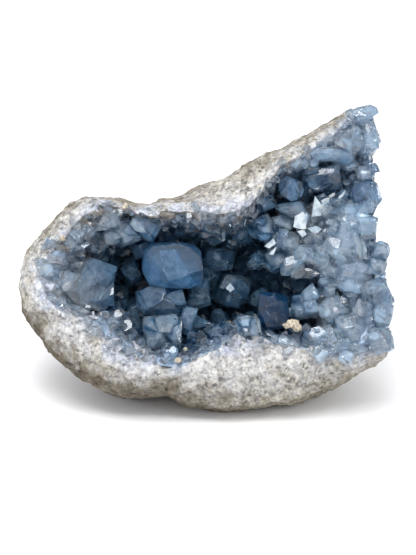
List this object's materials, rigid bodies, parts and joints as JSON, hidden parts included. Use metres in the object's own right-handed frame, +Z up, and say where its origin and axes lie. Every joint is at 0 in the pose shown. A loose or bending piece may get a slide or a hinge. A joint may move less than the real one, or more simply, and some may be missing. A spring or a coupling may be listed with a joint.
{
  "type": "celestite cluster",
  "caption": "Half of a geode: a thick shell of rough pale limestone whose hollow is lined with blue celestite crystals.",
  "frame": {"origin": "middle of the bounding box at the level of the flat underside that the geode stands on", "axes": "+X along the long side of the geode, towards its tall end; -Y is the open, crystal-lined side; +Z up"},
  "size_m": [0.1954, 0.1222, 0.1576],
  "materials": {
    "limestone": "rough, granular, matt",
    "celestite": "clear to cloudy blue crystal with flat, shiny faces"
  },
  "bodies": {
    "root": {"limestone_matrix": "limestone", "celestite_crust": "celestite"}
  },
  "joints": []
}
